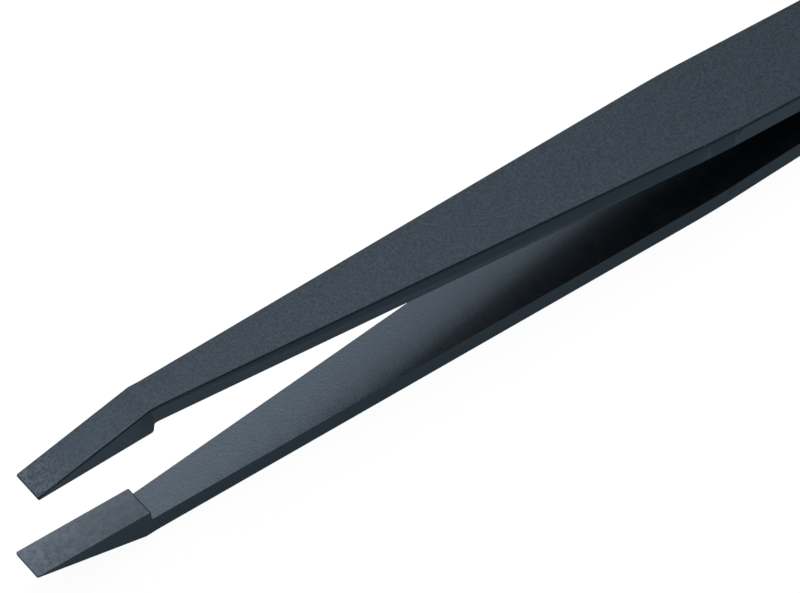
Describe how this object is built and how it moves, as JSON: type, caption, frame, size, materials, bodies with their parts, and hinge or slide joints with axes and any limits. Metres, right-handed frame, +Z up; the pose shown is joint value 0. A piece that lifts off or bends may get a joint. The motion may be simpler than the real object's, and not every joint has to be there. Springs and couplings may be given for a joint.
{
  "type": "precision tweezers",
  "caption": "Flat-armed plastic tweezers with stepped, bevelled flat tips, a wedge spacer and flush rivets at the rear; the sprung arms close.",
  "frame": {"origin": "on the ground under the centre of the tweezers' box, with the lower arm's outer face lying flat on the ground", "axes": "+X from the tips to the riveted rear end, +Y across the arms' width, +Z up through both arms"},
  "size_m": [0.1152, 0.009, 0.0175],
  "materials": {
    "arm_plastic": "matt, fine eroded grain, dark blue-grey fibre-filled plastic",
    "wedge_plastic": "matt black moulded plastic",
    "rivet_steel": "ground flush, fine straight grinding lines"
  },
  "bodies": {
    "rear_joint": {"upper_arm_root": "arm_plastic", "lower_arm_root": "arm_plastic", "wedge_spacer": "wedge_plastic", "front_rivet_post": "rivet_steel", "front_rivet_socket": "rivet_steel", "rear_rivet_post": "rivet_steel", "rear_rivet_socket": "rivet_steel"},
    "upper_arm": {"upper_arm": "arm_plastic"},
    "lower_arm": {"lower_arm": "arm_plastic"}
  },
  "joints": [
    {"name": "upper_flex", "type": "hinge", "parent": "rear_joint", "child": "upper_arm", "pos_m": [0.02677, 0, 0.00752], "axis": [0, -1, 0], "range_deg": [0, 3.58], "stiffness_Nm_per_rad": 1.2},
    {"name": "lower_flex", "type": "hinge", "parent": "rear_joint", "child": "lower_arm", "pos_m": [0.02636, 0, 0.00103], "axis": [0, 1, 0], "range_deg": [0, 3.58], "stiffness_Nm_per_rad": 1.2}
  ]
}
